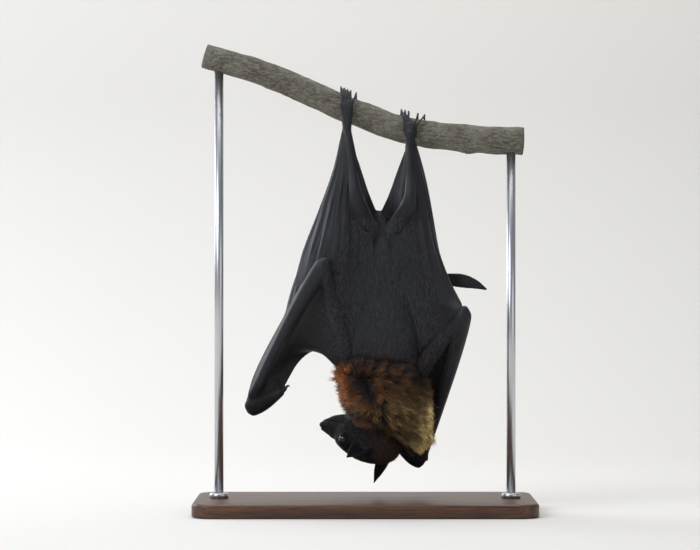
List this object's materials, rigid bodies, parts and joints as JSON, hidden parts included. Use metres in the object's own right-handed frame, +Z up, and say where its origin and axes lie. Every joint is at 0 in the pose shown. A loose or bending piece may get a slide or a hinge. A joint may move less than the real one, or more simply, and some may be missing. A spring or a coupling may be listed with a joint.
{
  "type": "hanging fruit bat on display stand",
  "caption": "Life-size fruit bat hanging asleep under a cut branch, wings part folded, on a flat display stand with rods.",
  "frame": {"origin": "centre of the base's underside, on the surface that the stand rests on", "axes": "+Z up, towards the perch; -Y is the side of the animal's back; +X is the animal's left"},
  "size_m": [0.34, 0.18, 0.4681],
  "materials": {
    "coat": "short charcoal fur with long grey streaks",
    "ruff": "long rust to straw coloured fur",
    "skin": "thin dark grey skin with a dull sheen",
    "eye": "wet dark brown",
    "bark": "weathered grey-brown bark",
    "stand_wood": "satin dark walnut",
    "stand_steel": "satin"
  },
  "bodies": {
    "root": {"stand_base": "stand_wood", "stand_rod_right": "stand_steel", "stand_rod_left": "stand_steel", "perch": "bark", "trunk": "coat", "neck": "ruff", "head": "coat", "eye_right": "eye", "eye_left": "eye", "ear_right": "skin", "ear_left": "skin", "upper_arm_right": "coat", "upper_arm_left": "coat", "forearm_right": "skin", "forearm_left": "skin", "hand_right": "skin", "hand_left": "skin", "thumb_right": "skin", "thumb_left": "skin", "fingers_right": "skin", "fingers_left": "skin", "wing_tip_right": "skin", "wing_tip_left": "skin", "fore_web_right": "skin", "fore_web_left": "skin", "side_web_right": "skin", "side_web_left": "skin", "leg_right": "coat", "leg_left": "coat", "tail_web_right": "skin", "tail_web_left": "skin", "foot_right": "skin", "foot_left": "skin"}
  },
  "joints": []
}
